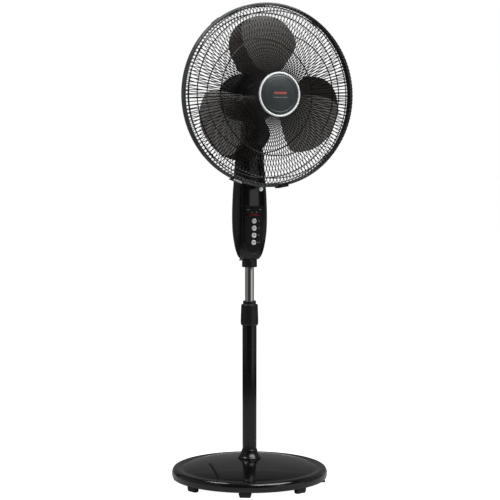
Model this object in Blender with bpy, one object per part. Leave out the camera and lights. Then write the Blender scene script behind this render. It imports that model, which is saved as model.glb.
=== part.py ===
"""Pedestal fan with a wire guard, a translucent three-blade fan, a tilting and swinging head, a push-button column
and a height-adjustable pole on a weighted round base.

Metres, +Z up. The origin is on the floor under the pole's axis, and the fan blows towards -Y.
"Forward" below is the distance from the pole's axis towards -Y.
"""

import math

import bmesh
import bpy
from mathutils import Matrix, Vector

# ---------------------------------------------------------------- driving dimensions
GAP = 0.0003                    # air left between pieces that touch

BASE_R = 0.195                  # round base, outer radius
BASE_EDGE_Z = 0.0125            # lower edge of the base shell above the floor
BASE_WALL = 0.0025
FOOT_COUNT = 8
FOOT_R = 0.186                  # feet, distance from the pole's axis
FOOT_CLOCKING = -26.0           # degrees from the front to the first foot, towards +X

POLE_R = 0.01775                # black outer pole
POLE_WALL = 0.00125
POLE_BOTTOM_Z = 0.0253
POLE_TOP_Z = 0.438
TUBE_R = 0.01115                # bright inner tube
TUBE_WALL = 0.0012
TUBE_BOTTOM_Z = 0.235
TUBE_TOP_Z = 0.640
NUT_BOTTOM_Z = 0.3974           # height nut
NUT_TOP_Z = 0.4595
NUT_R = 0.0221

COLLAR_R = 0.01845              # collar between the tube and the column
COLLAR_BOTTOM_Z = 0.5465
COLUMN_BOTTOM_Z = 0.564
COLUMN_TOP_Z = 0.852
COLUMN_DEPTH_RATIO = 0.706      # column section: half depth over half width
COLUMN_SQUARENESS = 3.6         # exponent of the section's superellipse
COLUMN_WALL = 0.0025
FASCIA_HALF_W = 0.0306
FASCIA_PROUD = 0.0008
FASCIA_SEAM = 0.0004

BUTTON_R = 0.0064
BUTTON_TOP_Z = 0.662
BUTTON_PITCH = 0.0175
BUTTON_COUNT = 4
WINDOW_Z = 0.677
WINDOW_HALF_W = 0.0231
WINDOW_HALF_H = 0.0051

TILT_Z = 0.872                  # tilt axis, along X
KNUCKLE_R = 0.013
SPINE_HALF_W = 0.019
TONGUE_HALF_W = 0.0135
TILT_PIN_R = 0.003
NECK_TOP_Z = 0.9165
NECK_R = 0.0195
PIVOT_R = 0.0049                # upright pivot that the head swings on

HEAD_Z = 0.971                  # fan axis, along Y
GUARD_R = 0.2225                # guard rim, outer radius
RIM_BACK = 0.110                # forward distance of the rim's back edge
RIM_FRONT = 0.128
GUARD_WIRES = 18                # main ribs of each guard
WIRE_T = 0.0024
BLADE_TIP = 0.1883
BLADE_PLANE = 0.1195            # forward distance of the blades' middle
BLADE_CLOCKING = -25.5          # clock angle of blade one's root; its lobe leans to the right of it
BLADE_T = 0.0022
SHAFT_R = 0.004
MOTOR_R = 0.0415
MOTOR_COVER_R = 0.060
MOTOR_COVER_BACK = 0.095
BADGE_R = 0.0536

CRANK_X = -0.006                # swing crank centre
CRANK_Y = 0.047
CRANK_ARM = 0.010
LINK_X = CRANK_X - CRANK_ARM    # both ends of the swing link at mid swing
LINK_Z = 0.9242
LINK_T = 0.002
CRANK_Z = 0.9307

LUG_ANGLE = 185.7               # clock angles on the rim, seen from the front, in degrees from the top
LUG_R = 0.2266
CLIP_ANGLES = {"guard_clip_left": 202.5, "guard_clip_right": 171.0}
CLIP_PIVOT_R = 0.2245
CLIP_PIVOT_FORWARD = 0.1085

FORWARD = Matrix.Rotation(math.radians(90), 4, "X")     # a turned piece's height runs towards -Y
SIDEWAYS = Matrix.Rotation(math.radians(90), 4, "Y")    # a turned piece's height runs towards +X
UPRIGHT = Matrix.Identity(4)
HEAD_CENTRE = Vector((0, 0, HEAD_Z))

# column outline: height, half width
COLUMN_OUTLINE = (
    (COLUMN_BOTTOM_Z, 0.0205), (0.568, 0.0245), (0.576, 0.0292), (0.592, 0.0340), (0.6145, 0.0381),
    (0.640, 0.0407), (0.678, 0.0415), (0.727, 0.0399), (0.767, 0.0371), (0.806, 0.0345),
    (0.834, 0.0322), (COLUMN_TOP_Z, 0.0295),
)

# guards from the hub outwards: radius, forward distance, and whether the next span is a full ring
FRONT_GUARD = (
    (0.0360, 0.1775, True), (0.0545, 0.1775, False), (0.0620, 0.1808, False), (0.1000, 0.1798, False),
    (0.1445, 0.1755, True), (0.1475, 0.1750, False), (0.1985, 0.1612, True), (0.2015, 0.1595, False),
    (0.2070, 0.1530, False), (0.2095, 0.1360, False),
    (0.2115, 0.1235, True), (0.2195, 0.1235, False),
)
REAR_GUARD = (
    (0.0248, 0.0500, True), (0.0480, 0.0500, False), (0.1000, 0.0555, False), (0.1385, 0.0640, True),
    (0.1415, 0.0648, False), (0.1985, 0.0935, True), (0.2015, 0.0960, False), (0.2095, 0.1050, False),
    (0.2115, 0.1150, True), (0.2195, 0.1150, False),
)


# ---------------------------------------------------------------- materials
def material(name, colour, roughness, metallic=0.0, alpha=1.0):
    mat = bpy.data.materials.new(name)
    mat.use_nodes = True
    shader = mat.node_tree.nodes["Principled BSDF"]
    shader.inputs["Base Color"].default_value = (*colour, 1.0)
    shader.inputs["Roughness"].default_value = roughness
    shader.inputs["Metallic"].default_value = metallic
    shader.inputs["Alpha"].default_value = alpha
    return mat


def make_materials():
    return {
        "gloss_black": material("gloss_black", (0.010, 0.010, 0.011), 0.14),
        "satin_black": material("satin_black", (0.016, 0.017, 0.017), 0.38),
        "rim_grey": material("rim_grey", (0.035, 0.042, 0.042), 0.35),
        "wire_black": material("wire_black", (0.006, 0.006, 0.006), 0.25),
        "smoke_blade": material("smoke_blade", (0.040, 0.032, 0.026), 0.20, alpha=0.85),
        "smoke_window": material("smoke_window", (0.060, 0.006, 0.008), 0.08, alpha=0.9),
        "badge_grey": material("badge_grey", (0.070, 0.075, 0.080), 0.35, 0.6),
        "silver": material("silver", (0.62, 0.64, 0.64), 0.25, 1.0),
        "chrome": material("chrome", (0.60, 0.60, 0.58), 0.12, 1.0),
        "steel": material("steel", (0.45, 0.45, 0.45), 0.35, 1.0),
        "cast_iron": material("cast_iron", (0.08, 0.08, 0.08), 0.7, 0.8),
        "aluminium": material("aluminium", (0.60, 0.61, 0.62), 0.4, 1.0),
        "copper": material("copper", (0.55, 0.25, 0.12), 0.4, 0.8),
        "bronze": material("bronze", (0.45, 0.30, 0.14), 0.4, 1.0),
        "white_nylon": material("white_nylon", (0.70, 0.69, 0.65), 0.5),
        "board_green": material("board_green", (0.03, 0.16, 0.07), 0.5),
        "rubber": material("rubber", (0.02, 0.02, 0.02), 0.85),
    }


# ---------------------------------------------------------------- building blocks
def link_object(name, data, body):
    """Adds an object to the scene; its data is given in world places and kept relative to its body's empty."""
    obj = bpy.data.objects.new(name, data)
    bpy.context.scene.collection.objects.link(obj)
    if body is not None:
        data.transform(Matrix.Translation(-body["at"]))
        obj.parent = body["empty"]
    return obj


def make_body(name, at, parent=None):
    """An empty on a joint's axis, which the pieces that move together hang from."""
    empty = bpy.data.objects.new(name + "_pivot", None)
    bpy.context.scene.collection.objects.link(empty)
    at = Vector(at)
    if parent is not None:
        empty.parent = parent["empty"]
        empty.location = at - parent["at"]
    else:
        empty.location = at
    return {"empty": empty, "at": at}


def finish(name, bm, body, mat):
    """Turns a bmesh in world places into a named, smooth-shaded object."""
    bmesh.ops.recalc_face_normals(bm, faces=bm.faces)
    mesh = bpy.data.meshes.new(name)
    bm.to_mesh(mesh)
    bm.free()
    mesh.materials.append(mat)
    mesh.shade_smooth()
    mesh.set_sharp_from_angle(angle=math.radians(32))
    return link_object(name, mesh, body)


def spin_section(bm, outline, matrix, segments):
    """Spins a section of (radius, height) points round the local Z axis. A section off the axis is closed."""
    verts = [bm.verts.new((radius, 0, height)) for radius, height in outline]
    edges = [bm.edges.new(pair) for pair in zip(verts, verts[1:])]
    if all(radius > 0 for radius, _ in outline):
        edges.append(bm.edges.new((verts[-1], verts[0])))
    bmesh.ops.spin(
        bm, geom=verts + edges, cent=(0, 0, 0), axis=(0, 0, 1), dvec=(0, 0, 0),
        angle=math.tau, steps=segments, use_merge=True,
    )
    bmesh.ops.remove_doubles(bm, verts=bm.verts, dist=0.000002)
    bmesh.ops.transform(bm, matrix=matrix, verts=bm.verts)


def turned(name, outline, body, mat, centre=(0, 0, 0), turn=UPRIGHT, segments=24):
    bm = bmesh.new()
    spin_section(bm, outline, Matrix.Translation(Vector(centre)) @ turn, segments)
    return finish(name, bm, body, mat)


def extruded(name, outline, depth, body, mat, matrix=UPRIGHT):
    """Extrudes a flat outline of (x, y) points by depth along the local Z axis."""
    bm = bmesh.new()
    face = bm.faces.new([bm.verts.new((x, y, 0)) for x, y in outline])
    lifted = bmesh.ops.extrude_face_region(bm, geom=[face])
    top = [v for v in lifted["geom"] if isinstance(v, bmesh.types.BMVert)]
    bmesh.ops.translate(bm, vec=(0, 0, depth), verts=top)
    bmesh.ops.transform(bm, matrix=matrix, verts=bm.verts)
    return finish(name, bm, body, mat)


def block(name, low, high, body, mat):
    low, high = Vector(low), Vector(high)
    bm = bmesh.new()
    size = Matrix.Diagonal((*(high - low), 1))
    bmesh.ops.create_cube(bm, size=1, matrix=Matrix.Translation((low + high) / 2) @ size)
    return finish(name, bm, body, mat)


def cylinder_outline(radius, low, high):
    return ((0, low), (radius, low), (radius, high), (0, high))


def ring_outline(inner, outer, low, high):
    return ((inner, low), (outer, low), (outer, high), (inner, high))


def arc(radius, start, end, steps, centre=(0, 0)):
    """Points of a circular arc, angles in degrees."""
    angles = (math.radians(start + (end - start) * i / steps) for i in range(steps + 1))
    return [(centre[0] + radius * math.cos(a), centre[1] + radius * math.sin(a)) for a in angles]


def combine(obj, tool, operation):
    """Adds a Boolean; the tool stays in the file as a wire guide."""
    modifier = obj.modifiers.new(operation.title(), "BOOLEAN")
    modifier.operation = operation
    modifier.solver = "EXACT"
    modifier.object = tool
    tool.hide_render = True
    tool.display_type = "WIRE"


def cut(obj, tool):
    combine(obj, tool, "DIFFERENCE")


def join(obj, tool):
    combine(obj, tool, "UNION")


def side_view(x):
    """Places an outline drawn as (y, z) so that its extrusion runs towards +X from x."""
    return Matrix.Translation((x, 0, 0)) @ Matrix(((0, 0, 1, 0), (1, 0, 0, 0), (0, 1, 0, 0), (0, 0, 0, 1)))


def front_view(forward):
    """Places an outline drawn as (x, z) so that its extrusion runs towards -Y from the given forward distance."""
    return Matrix.Translation((0, -forward, 0)) @ FORWARD


def clock(angle):
    """Turns a piece built at the top of the rim round the fan's axis, clockwise seen from the front."""
    return Matrix.Translation(HEAD_CENTRE) @ Matrix.Rotation(math.radians(angle), 4, "Y")


# ---------------------------------------------------------------- base and pole
def make_base(body, mats):
    edge = BASE_R - 0.0015
    outside = [
        (0.0215, 0.0590), (0.0500, 0.0573), (0.0900, 0.0533), (0.1200, 0.0489), (0.1450, 0.0437), (0.1600, 0.0395),
        (0.1680, 0.0363), (0.1715, 0.0354), (0.1760, 0.0364), (0.1850, 0.0370), (0.1905, 0.0350), (0.1936, 0.0310),
        (BASE_R, 0.0260), (BASE_R, 0.0190), (edge, BASE_EDGE_Z),
    ]
    inside = [
        (edge - BASE_WALL, BASE_EDGE_Z), (BASE_R - BASE_WALL, 0.0190), (BASE_R - BASE_WALL, 0.0255),
        (0.1895, 0.0315), (0.1850, 0.0343), (0.1720, 0.0329), (0.1590, 0.0370), (0.1440, 0.0412), (0.0890, 0.0508),
        (0.0215, 0.0565),
    ]
    turned("base_shell", outside + inside, body, mats["gloss_black"], segments=40)
    plate_r = edge - BASE_WALL - 0.0012
    turned("base_plate", ring_outline(0.0045, plate_r, BASE_EDGE_Z, 0.0150), body, mats["satin_black"], segments=32)
    turned("base_weight", ring_outline(0.0480, 0.1600, 0.0153, 0.0203), body, mats["cast_iron"], segments=32)

    half_top, half_low, radial = 0.0155, 0.0130, 0.0085
    top_z = BASE_EDGE_Z - GAP
    outline = [(-half_low, 0), (half_low, 0), (half_top, top_z * 0.6), (half_top, top_z), (-half_top, top_z),
               (-half_top, top_z * 0.6)]
    for i in range(FOOT_COUNT):
        angle = math.radians(FOOT_CLOCKING) + math.tau * i / FOOT_COUNT
        place = Matrix.Rotation(angle, 4, "Z") @ front_view(FOOT_R - radial)
        extruded(f"foot_{i + 1}", outline, 2 * radial, body, mats["rubber"], place)

    collar = [
        (POLE_R + GAP, 0.0594), (0.0298, 0.0594), (0.0298, 0.0618), (0.0262, 0.0655), (0.0222, 0.0715),
        (0.0196, 0.0800), (POLE_R + GAP, 0.0815),
    ]
    turned("pole_collar", collar, body, mats["gloss_black"])
    socket = [
        (0.0045, 0.0208), (0.0450, 0.0208), (0.0450, 0.0242), (0.0208, 0.0242), (0.0208, 0.0550),
        (POLE_R + GAP, 0.0550), (POLE_R + GAP, 0.0250), (0.0045, 0.0250),
    ]
    turned("pole_socket", socket, body, mats["steel"])
    bolt = [(0, 0.0088), (0.0075, 0.0088), (0.0075, 0.0122), (0.004, 0.0122), (0.004, 0.040), (0, 0.040)]
    turned("pole_bolt", bolt, body, mats["steel"], segments=12)
    turned("outer_pole", ring_outline(POLE_R - POLE_WALL, POLE_R, POLE_BOTTOM_Z, POLE_TOP_Z), body,
           mats["gloss_black"])
    bush = [
        (TUBE_R + GAP, 0.4050), (POLE_R - POLE_WALL - GAP, 0.4050), (POLE_R - POLE_WALL - GAP, POLE_TOP_Z + GAP),
        (POLE_R, POLE_TOP_Z + GAP), (POLE_R, 0.4425), (TUBE_R + GAP, 0.4425),
    ]
    turned("pole_bush", bush, body, mats["white_nylon"])


def make_height_nut(body, mats):
    bore = POLE_R + 0.0006
    outline = [
        (bore, NUT_BOTTOM_Z), (NUT_R - 0.0022, NUT_BOTTOM_Z), (NUT_R, 0.4015), (NUT_R, 0.4080), (0.0207, 0.4504),
        (0.0166, 0.4512), (0.0163, NUT_TOP_Z - 0.001), (0.0158, NUT_TOP_Z), (TUBE_R + 0.0006, NUT_TOP_Z),
        (TUBE_R + 0.0006, 0.4440), (bore, 0.4440),
    ]
    turned("height_nut", outline, body, mats["satin_black"])


# ---------------------------------------------------------------- column
def superellipse(half_w, half_d, count):
    power = 2 / COLUMN_SQUARENESS
    points = []
    for i in range(count):
        angle = math.tau * i / count
        c, s = math.cos(angle), math.sin(angle)
        points.append((math.copysign(abs(c) ** power, c) * half_w, math.copysign(abs(s) ** power, s) * half_d))
    return points


def column_shell(name, body, mat, outer, inner, count=28):
    """The column's outline as a hollow shell, its two skins offset from the outline by outer and inner."""
    bm = bmesh.new()
    rings = []
    for offset, rows in ((outer, COLUMN_OUTLINE), (inner, reversed(COLUMN_OUTLINE))):
        for z, half_w in rows:
            half_d = half_w * COLUMN_DEPTH_RATIO
            section = superellipse(half_w + offset, half_d + offset, count)
            rings.append([bm.verts.new((x, y, z)) for x, y in section])
    for ring, following in zip(rings, rings[1:] + rings[:1]):
        for i in range(count):
            j = (i + 1) % count
            bm.faces.new((ring[i], ring[j], following[j], following[i]))
    return finish(name, bm, body, mat)


def fascia_outline(grow):
    """Front cover seen from the front: a rounded foot, straight sides and a narrowing shoulder, as (x, z)."""
    half_w = FASCIA_HALF_W + grow
    side_z, foot_h = 0.637, 0.058 + grow
    foot = [(half_w * math.cos(a), side_z + foot_h * math.sin(a))
            for a in (math.radians(180 + 15 * i) for i in range(13))]
    shoulder = [(half_w, 0.765), (half_w - 0.0035, 0.812), (half_w - 0.0075, 0.836 + grow),
                (half_w - 0.0125, 0.8445 + grow)]
    return foot + shoulder + [(-x, z) for x, z in reversed(shoulder)]


def column_front(z):
    """Forward distance of the fascia's face on the column's centre line."""
    for (low_z, low_w), (high_z, high_w) in zip(COLUMN_OUTLINE, COLUMN_OUTLINE[1:]):
        if low_z <= z <= high_z:
            half_w = low_w + (high_w - low_w) * (z - low_z) / (high_z - low_z)
            return half_w * COLUMN_DEPTH_RATIO + FASCIA_PROUD
    return 0.0


def make_column(body, mats):
    turned("inner_tube", ring_outline(TUBE_R - TUBE_WALL, TUBE_R, TUBE_BOTTOM_Z, TUBE_TOP_Z), body, mats["chrome"])
    tube_bore = TUBE_R - TUBE_WALL
    plug = [
        (0, 0.222), (0.0158, 0.222), (0.0158, TUBE_BOTTOM_Z - GAP), (tube_bore - GAP, TUBE_BOTTOM_Z - GAP),
        (tube_bore - GAP, 0.252), (0, 0.252),
    ]
    turned("tube_plug", plug, body, mats["white_nylon"], segments=20)
    collar_top = COLUMN_BOTTOM_Z - GAP
    collar = [
        (TUBE_R + GAP, COLLAR_BOTTOM_Z), (COLLAR_R - 0.0008, COLLAR_BOTTOM_Z), (COLLAR_R, COLLAR_BOTTOM_Z + 0.0015),
        (COLLAR_R, collar_top), (TUBE_R + GAP, collar_top),
    ]
    turned("tube_collar", collar, body, mats["satin_black"])
    make_spine(body, mats)

    rear = column_shell("housing_rear", body, mats["satin_black"], 0, -COLUMN_WALL)
    opening = extruded("opening_tool", fascia_outline(FASCIA_SEAM), 0.045, body, mats["steel"], front_view(0.006))
    cut(rear, opening)
    front = column_shell("housing_front", body, mats["gloss_black"], FASCIA_PROUD, FASCIA_PROUD - 0.003)
    keep = extruded("fascia_tool", fascia_outline(0), 0.045, body, mats["steel"], front_view(0.006))
    combine(front, keep, "INTERSECT")

    window_low = (-WINDOW_HALF_W, -0.045, WINDOW_Z - WINDOW_HALF_H)
    window_high = (WINDOW_HALF_W, -0.015, WINDOW_Z + WINDOW_HALF_H)
    seam = Vector((FASCIA_SEAM, 0.003, FASCIA_SEAM))
    slot = block("window_slot_tool", Vector(window_low) - seam, Vector(window_high) + seam, body, mats["steel"])
    cut(front, slot)
    window = column_shell("indicator_window", body, mats["smoke_window"], FASCIA_PROUD - 0.0002, -0.0012)
    combine(window, block("window_tool", window_low, window_high, body, mats["steel"]), "INTERSECT")

    block("control_board", (-0.022, -0.0205, 0.598), (0.022, -0.0189, 0.700), body, mats["board_green"])
    for i in range(BUTTON_COUNT):
        z = BUTTON_TOP_Z - i * BUTTON_PITCH
        hole = turned(f"button_hole_tool_{i + 1}", cylinder_outline(BUTTON_R + 0.0005, 0.012, 0.045), body,
                      mats["steel"], (0, 0, z), FORWARD, 16)
        cut(front, hole)

    for name, z in (("housing_screw_lower", 0.625), ("housing_screw_upper", 0.790)):
        back = column_front(z) - FASCIA_PROUD
        screw = [(0, back - 0.010), (0.0016, back - 0.010), (0.0016, back + GAP), (0.0034, back + GAP),
                 (0.0030, back + 0.0018), (0, back + 0.0018)]
        backwards = FORWARD.inverted()
        turned(name, screw, body, mats["steel"], (0, 0, z), backwards, 12)
        hole = turned(name + "_tool", cylinder_outline(0.002, back - 0.006, back + 0.004), body, mats["steel"],
                      (0, 0, z), backwards, 12)
        cut(rear, hole)

    gland_at = (-0.0125, 0.0205, 0)
    gland = [(0, 0.5600), (0.0040, 0.5600), (0.0055, 0.5660), (0.0055, 0.5900), (0, 0.5900)]
    turned("cord_gland", gland, body, mats["rubber"], gland_at, segments=14)
    hole = turned("gland_tool", cylinder_outline(0.0059, 0.5500, 0.5950), body, mats["steel"], gland_at, segments=14)
    cut(rear, hole)


def make_spine(body, mats):
    """Moulded core of the column: it grips the tube below and carries the two ears of the tilt hinge."""
    outline = [(KNUCKLE_R, 0.585)] + arc(KNUCKLE_R, 0, 180, 12, (0, TILT_Z)) + [(-KNUCKLE_R, 0.585)]
    spine = extruded("column_spine", outline, 2 * SPINE_HALF_W, body, mats["satin_black"], side_view(-SPINE_HALF_W))
    slot_w = TONGUE_HALF_W + GAP
    cut(spine, block("ear_slot_tool", (-slot_w, -0.03, 0.8535), (slot_w, 0.03, 0.900), body, mats["steel"]))
    bore = turned("tube_bore_tool", cylinder_outline(TUBE_R + GAP, 0.575, TUBE_TOP_Z + 0.0005), body, mats["steel"])
    cut(spine, bore)
    pin_hole = turned("ear_hole_tool", cylinder_outline(TILT_PIN_R + 0.0004, -0.03, 0.03), body, mats["steel"],
                      (0, 0, TILT_Z), SIDEWAYS, 16)
    cut(spine, pin_hole)
    head_x = SPINE_HALF_W + GAP
    bolt = [(0, -head_x - 0.0035), (0.0055, -head_x - 0.0035), (0.0055, -head_x), (TILT_PIN_R, -head_x),
            (TILT_PIN_R, head_x + 0.004), (0, head_x + 0.004)]
    turned("tilt_bolt", bolt, body, mats["steel"], (0, 0, TILT_Z), SIDEWAYS, 16)
    turned("tilt_nut", ring_outline(TILT_PIN_R + 0.0008, 0.0058, head_x, head_x + 0.0038), body, mats["steel"],
           (0, 0, TILT_Z), SIDEWAYS, 6)


def make_button(index, body, mats):
    z = BUTTON_TOP_Z - index * BUTTON_PITCH
    face = column_front(z) + 0.0006
    outline = [
        (0, 0.0228), (0.0028, 0.0228), (0.0028, face - 0.0035), (BUTTON_R, face - 0.0035), (BUTTON_R, face),
        (BUTTON_R - 0.0008, face + 0.0007), (0, face + 0.0009),
    ]
    turned(f"button_{index + 1}", outline, body, mats["silver"], (0, 0, z), FORWARD, 20)


# ---------------------------------------------------------------- neck
def make_neck(body, mats):
    """Neck that tilts on the column: a boss and skirt for the head's pivot, over a tongue between the ears."""
    boss = [
        (0, 0.8925), (0.0208, 0.8925), (0.0213, 0.8845), (0.0238, 0.8845), (0.0232, 0.8960), (0.0212, 0.9045),
        (NECK_R, 0.9085), (NECK_R, NECK_TOP_Z), (0, NECK_TOP_Z),
    ]
    neck = turned("neck", boss, body, mats["satin_black"])
    outline = [(KNUCKLE_R, 0.8945)] + arc(KNUCKLE_R, 0, -180, 12, (0, TILT_Z)) + [(-KNUCKLE_R, 0.8945)]
    tongue = extruded("tongue_tool", outline, 2 * TONGUE_HALF_W, body, mats["steel"], side_view(-TONGUE_HALF_W))
    join(neck, tongue)
    link_pin = turned("link_pin_tool", cylinder_outline(0.0025, 0.9100, LINK_Z + LINK_T), body, mats["steel"],
                      (LINK_X, 0, 0), segments=12)
    join(neck, link_pin)
    bore = turned("pivot_bore_tool", cylinder_outline(PIVOT_R + 0.0004, 0.8800, 0.9300), body, mats["steel"])
    cut(neck, bore)
    pin_hole = turned("tongue_hole_tool", cylinder_outline(TILT_PIN_R + 0.0004, -0.03, 0.03), body, mats["steel"],
                      (0, 0, TILT_Z), SIDEWAYS, 16)
    cut(neck, pin_hole)


# ---------------------------------------------------------------- motor and swing drive
def make_motor(body, mats):
    plate_low, plate_high = NECK_TOP_Z + 0.0004, NECK_TOP_Z + 0.0034
    flange_back, flange_front = -0.0310, -0.0340
    outline = [
        (flange_front, plate_low), (0.011, plate_low), (0.011, plate_high), (flange_back, plate_high),
        (flange_back, 0.946), (flange_front, 0.946),
    ]
    bracket = extruded("swivel_bracket", outline, 0.0225, body, mats["steel"], side_view(-0.0085))
    hole = turned("bracket_hole_tool", cylinder_outline(PIVOT_R + GAP, 0.90, 0.93), body, mats["steel"], segments=16)
    cut(bracket, hole)
    head_z = plate_high + 0.0004
    post = [(0, 0.8825), (PIVOT_R, 0.8825), (PIVOT_R, head_z), (0.008, head_z), (0.008, head_z + 0.003),
            (0, head_z + 0.003)]
    turned("pivot_post", post, body, mats["steel"], segments=24)

    half_core = 0.014
    bell = [
        (0.0075, 0.0307), (MOTOR_R, 0.0307), (MOTOR_R, half_core + GAP), (0.038, half_core + GAP), (0.038, 0.0277),
        (0.011, 0.0277), (0.011, 0.020), (0.0075, 0.020),
    ]
    bush = ring_outline(SHAFT_R + GAP, 0.0072, 0.0205, 0.0305)
    for side, turn in (("front", FORWARD), ("rear", FORWARD.inverted())):
        turned(f"motor_{side}_bell", bell, body, mats["aluminium"], HEAD_CENTRE, turn)
        turned(f"{side}_bearing", bush, body, mats["bronze"], HEAD_CENTRE, turn, 16)
    stator = [
        (0.024, -half_core), (0.026, -half_core), (0.027, -0.0245), (0.035, -0.0245), (0.036, -half_core),
        (MOTOR_R, -half_core), (MOTOR_R, half_core), (0.036, half_core), (0.035, 0.0245), (0.027, 0.0245),
        (0.026, half_core), (0.024, half_core),
    ]
    turned("stator", stator, body, mats["copper"], HEAD_CENTRE, FORWARD)

    turned("swing_motor", cylinder_outline(0.0158, CRANK_Z + 0.0038, CRANK_Z + 0.0178), body, mats["aluminium"], (CRANK_X, CRANK_Y, 0),
           segments=20)
    make_motor_cover(body, mats)


def make_motor_cover(body, mats):
    straight_end = -0.020

    def dome(radius, depth):
        """Squarish dome from the straight barrel to the middle of the back."""
        points = []
        for i in range(7):
            angle = math.radians(90 * i / 6)
            r = radius * math.sqrt(math.cos(angle))
            points.append((max(r, 0.0), straight_end - depth * math.sqrt(math.sin(angle))))
        points[-1] = (0, straight_end - depth)
        return points

    outer = dome(MOTOR_COVER_R, MOTOR_COVER_BACK + straight_end)
    inner = dome(MOTOR_COVER_R - 0.0025, MOTOR_COVER_BACK + straight_end - 0.0025)
    front_edge = 0.045
    outline = list(reversed(outer)) + [(MOTOR_COVER_R, front_edge), (MOTOR_COVER_R - 0.0025, front_edge)] + inner
    cover = turned("motor_cover", outline, body, mats["satin_black"], HEAD_CENTRE, FORWARD, 28)
    hole = turned("neck_hole_tool", cylinder_outline(0.022, 0.88, 0.935), body, mats["steel"], segments=24)
    cut(cover, hole)

    front = [
        (0.006, 0.0455), (MOTOR_COVER_R - 0.0005, 0.0455), (MOTOR_COVER_R - 0.0005, 0.0470), (0.058, 0.0485),
        (0.0244, 0.0485), (0.0240, 0.0680), (0.006, 0.0680),
    ]
    turned("motor_front_cover", front, body, mats["satin_black"], HEAD_CENTRE, FORWARD)


def make_swing_parts(crank, link, mats):
    disc = [(0, CRANK_Z), (0.0135, CRANK_Z), (0.0135, CRANK_Z + 0.002), (0.004, CRANK_Z + 0.002),
            (0.004, CRANK_Z + 0.0035), (0, CRANK_Z + 0.0035)]
    plate = turned("swing_crank", disc, crank, mats["white_nylon"], (CRANK_X, CRANK_Y, 0), segments=20)
    pin = turned("crank_pin_tool", cylinder_outline(0.002, LINK_Z + LINK_T + GAP, CRANK_Z + 0.001), crank, mats["steel"],
                 (LINK_X, CRANK_Y, 0), segments=10)
    join(plate, pin)

    half_w = 0.0045
    outline = arc(half_w, 180, 360, 8, (LINK_X, 0)) + arc(half_w, 0, 180, 8, (LINK_X, CRANK_Y))
    bar = extruded("swing_link", outline, LINK_T, link, mats["steel"], Matrix.Translation((0, 0, LINK_Z)))
    for end, y in enumerate((0, CRANK_Y)):
        hole = turned(f"link_hole_tool_{end + 1}", cylinder_outline(0.0028, 0.91, 0.93), link, mats["steel"],
                      (LINK_X, y, 0), segments=12)
        cut(bar, hole)


# ---------------------------------------------------------------- guards
def make_guard(name, stations, body, mat):
    """A dished guard as one solid: radial wires joined by rings, open between them."""
    bm = bmesh.new()
    half_t = WIRE_T / 2
    count = len(stations)
    normals = []
    for i in range(count):
        before, after = stations[max(i - 1, 0)], stations[min(i + 1, count - 1)]
        along = Vector((after[0] - before[0], after[1] - before[1])).normalized()
        normals.append(Vector((-along.y, along.x)))

    def point(station, side, angle):
        radius = stations[station][0] + side * half_t * normals[station].x
        forward = stations[station][1] + side * half_t * normals[station].y
        return bm.verts.new((radius * math.sin(angle), -forward, HEAD_Z + radius * math.cos(angle)))

    grid = {}
    for wire in range(GUARD_WIRES):
        middle = math.tau * wire / GUARD_WIRES
        for station in range(count):
            spread = half_t / stations[station][0]
            for edge, angle in enumerate((middle - spread, middle + spread)):
                for side in (-1, 1):
                    grid[wire, edge, station, side] = point(station, side, angle)

    columns = [(wire, edge) for wire in range(GUARD_WIRES) for edge in (0, 1)]
    pairs = list(zip(columns, columns[1:] + columns[:1]))

    def kept(pair_index, station):
        is_wire = pair_index % 2 == 0
        return 0 <= station < count - 1 and (is_wire or stations[station][2])

    def quad(*corners):
        bm.faces.new([grid[corner] for corner in corners])

    for index, (left, right) in enumerate(pairs):
        for station in range(count - 1):
            if not kept(index, station):
                continue
            following = station + 1
            for side in (-1, 1):
                quad((*left, station, side), (*right, station, side),
                     (*right, following, side), (*left, following, side))
            if not kept(index, station - 1):
                quad((*left, station, -1), (*right, station, -1), (*right, station, 1), (*left, station, 1))
            if not kept(index, station + 1):
                quad((*left, following, -1), (*right, following, -1), (*right, following, 1), (*left, following, 1))
            for edge, neighbour in ((left, index - 1), (right, index + 1)):
                if not kept(neighbour % len(pairs), station):
                    quad((*edge, station, -1), (*edge, following, -1), (*edge, following, 1), (*edge, station, 1))
    return finish(name, bm, body, mat)


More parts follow.
